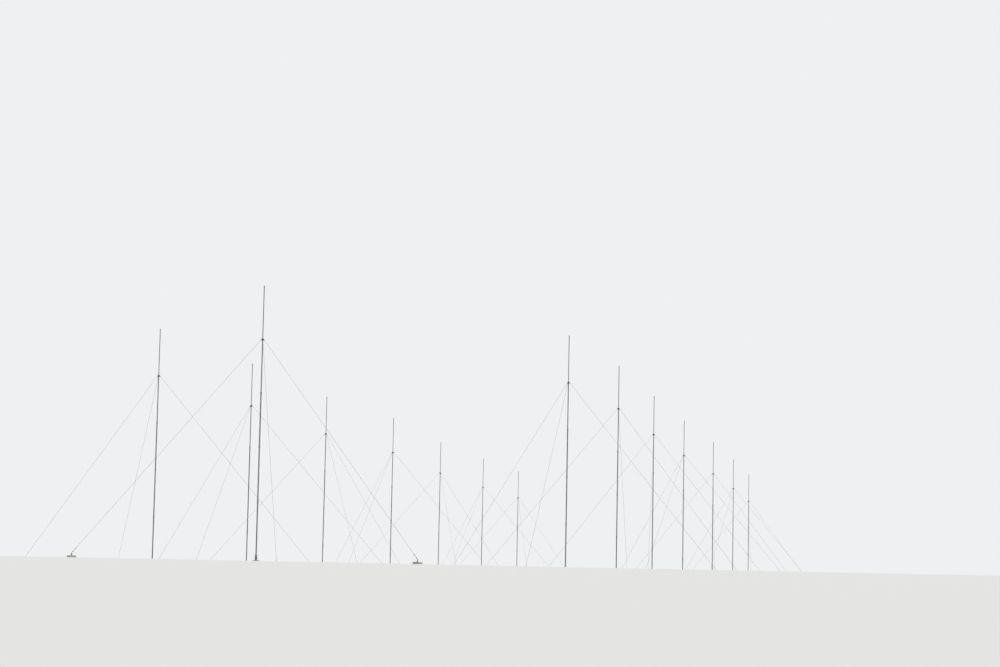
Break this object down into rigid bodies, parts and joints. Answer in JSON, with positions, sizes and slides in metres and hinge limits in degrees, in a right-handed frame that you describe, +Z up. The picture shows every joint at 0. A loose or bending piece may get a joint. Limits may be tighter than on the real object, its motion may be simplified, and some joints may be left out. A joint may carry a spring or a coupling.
{
  "type": "antenna array of guyed monopole masts, 1:10 scale model",
  "caption": "Scale model of a field of slender stayed antenna masts: a lead mast ahead of two parallel rows, each mast on an insulator with three stays to ground anchors.",
  "frame": {"origin": "centre of the underside of the lead mast's footing", "axes": "+X along the two rows, away from the lead mast; +Y towards the left row; +Z up the masts"},
  "size_m": [17.4814, 4.7773, 1.58],
  "materials": {
    "concrete": "rough cast",
    "insulator_ceramic": "glazed",
    "mast_aluminium": "weathered",
    "joint_steel": "matt",
    "stay_rope": "jacketed rope",
    "galvanised_steel": "galvanised"
  },
  "bodies": {
    "root": {"lead_anchor_blocks": "concrete", "lead_anchor_lugs": "galvanised_steel", "lead_base_insulator": "insulator_ceramic", "lead_base_plate": "galvanised_steel", "lead_collar_lugs": "joint_steel", "lead_couplings": "mast_aluminium", "lead_footing": "concrete", "lead_fork_pins": "galvanised_steel", "lead_mast_foot": "galvanised_steel", "lead_stay_collar": "joint_steel", "lead_stay_forks": "galvanised_steel", "lead_stays": "stay_rope", "lead_tip_cap": "joint_steel", "lead_tube_1": "mast_aluminium", "lead_tube_2": "mast_aluminium", "lead_tube_3": "mast_aluminium", "lead_tube_4": "mast_aluminium", "lead_tube_5": "mast_aluminium", "lead_turnbuckle_bodies": "galvanised_steel", "lead_turnbuckle_jaws": "galvanised_steel", "lead_turnbuckle_studs": "galvanised_steel", "left_row_anchor_blocks": "concrete", "left_row_anchor_lugs": "galvanised_steel", "left_row_base_fittings": "galvanised_steel", "left_row_base_insulators": "insulator_ceramic", "left_row_collar_lugs": "joint_steel", "left_row_couplings": "mast_aluminium", "left_row_footings": "concrete", "left_row_stay_collars": "joint_steel", "left_row_stay_fittings": "galvanised_steel", "left_row_stays": "stay_rope", "left_row_tip_caps": "joint_steel", "left_row_tubes": "mast_aluminium", "right_row_anchor_blocks": "concrete", "right_row_anchor_lugs": "galvanised_steel", "right_row_base_fittings": "galvanised_steel", "right_row_base_insulators": "insulator_ceramic", "right_row_collar_lugs": "joint_steel", "right_row_couplings": "mast_aluminium", "right_row_footings": "concrete", "right_row_stay_collars": "joint_steel", "right_row_stay_fittings": "galvanised_steel", "right_row_stays": "stay_rope", "right_row_tip_caps": "joint_steel", "right_row_tubes": "mast_aluminium"}
  },
  "joints": []
}
